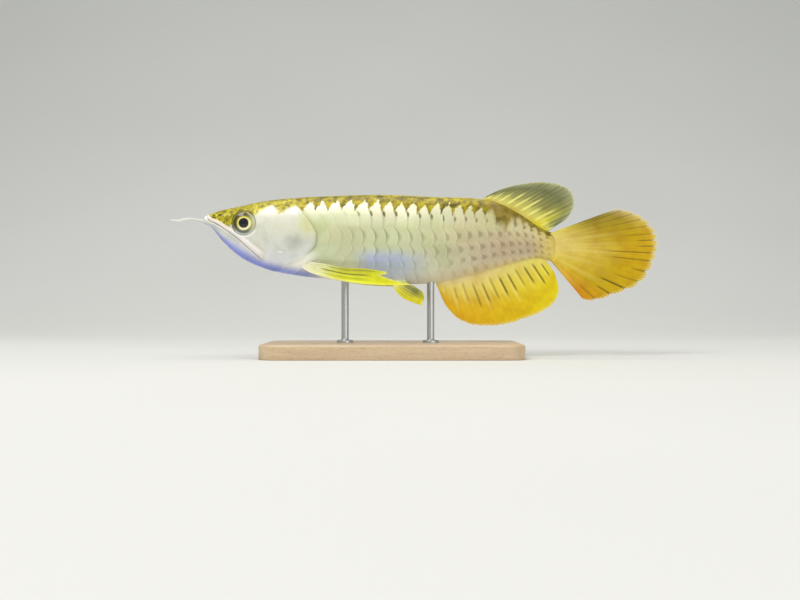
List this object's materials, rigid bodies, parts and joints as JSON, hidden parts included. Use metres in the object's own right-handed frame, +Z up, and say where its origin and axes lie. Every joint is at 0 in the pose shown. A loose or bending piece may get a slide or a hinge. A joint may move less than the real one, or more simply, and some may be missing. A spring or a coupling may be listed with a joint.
{
  "type": "asian arowana fish on a display stand",
  "caption": "Long deep-bodied freshwater fish with large scales, upturned jaw with chin barbels and fins set far back, level on a plain rod stand.",
  "frame": {"origin": "middle of the underside of the stand's base, on the plane the stand rests on", "axes": "+Z up, +X from the fish's head to its tail, +Y to the fish's right side"},
  "size_m": [0.2675, 0.07, 0.0961],
  "materials": {
    "scale_skin": "glossy",
    "fin_membrane": "satin",
    "eye_gloss": "glossy",
    "stand_steel": "brushed",
    "stand_wood": "satin"
  },
  "bodies": {
    "root": {"head": "scale_skin", "lower_jaw": "scale_skin", "gill_cover_left": "scale_skin", "gill_cover_right": "scale_skin", "trunk": "scale_skin", "tail_stalk": "scale_skin", "barbel_left": "scale_skin", "barbel_right": "scale_skin", "dorsal_fin": "fin_membrane", "anal_fin": "fin_membrane", "caudal_fin": "fin_membrane", "pectoral_fin_left": "fin_membrane", "pectoral_fin_right": "fin_membrane", "pelvic_fin_left": "fin_membrane", "pelvic_fin_right": "fin_membrane", "eye_left": "eye_gloss", "eye_right": "eye_gloss", "stand_rod_front": "stand_steel", "stand_rod_rear": "stand_steel", "stand_base": "stand_wood"}
  },
  "joints": []
}
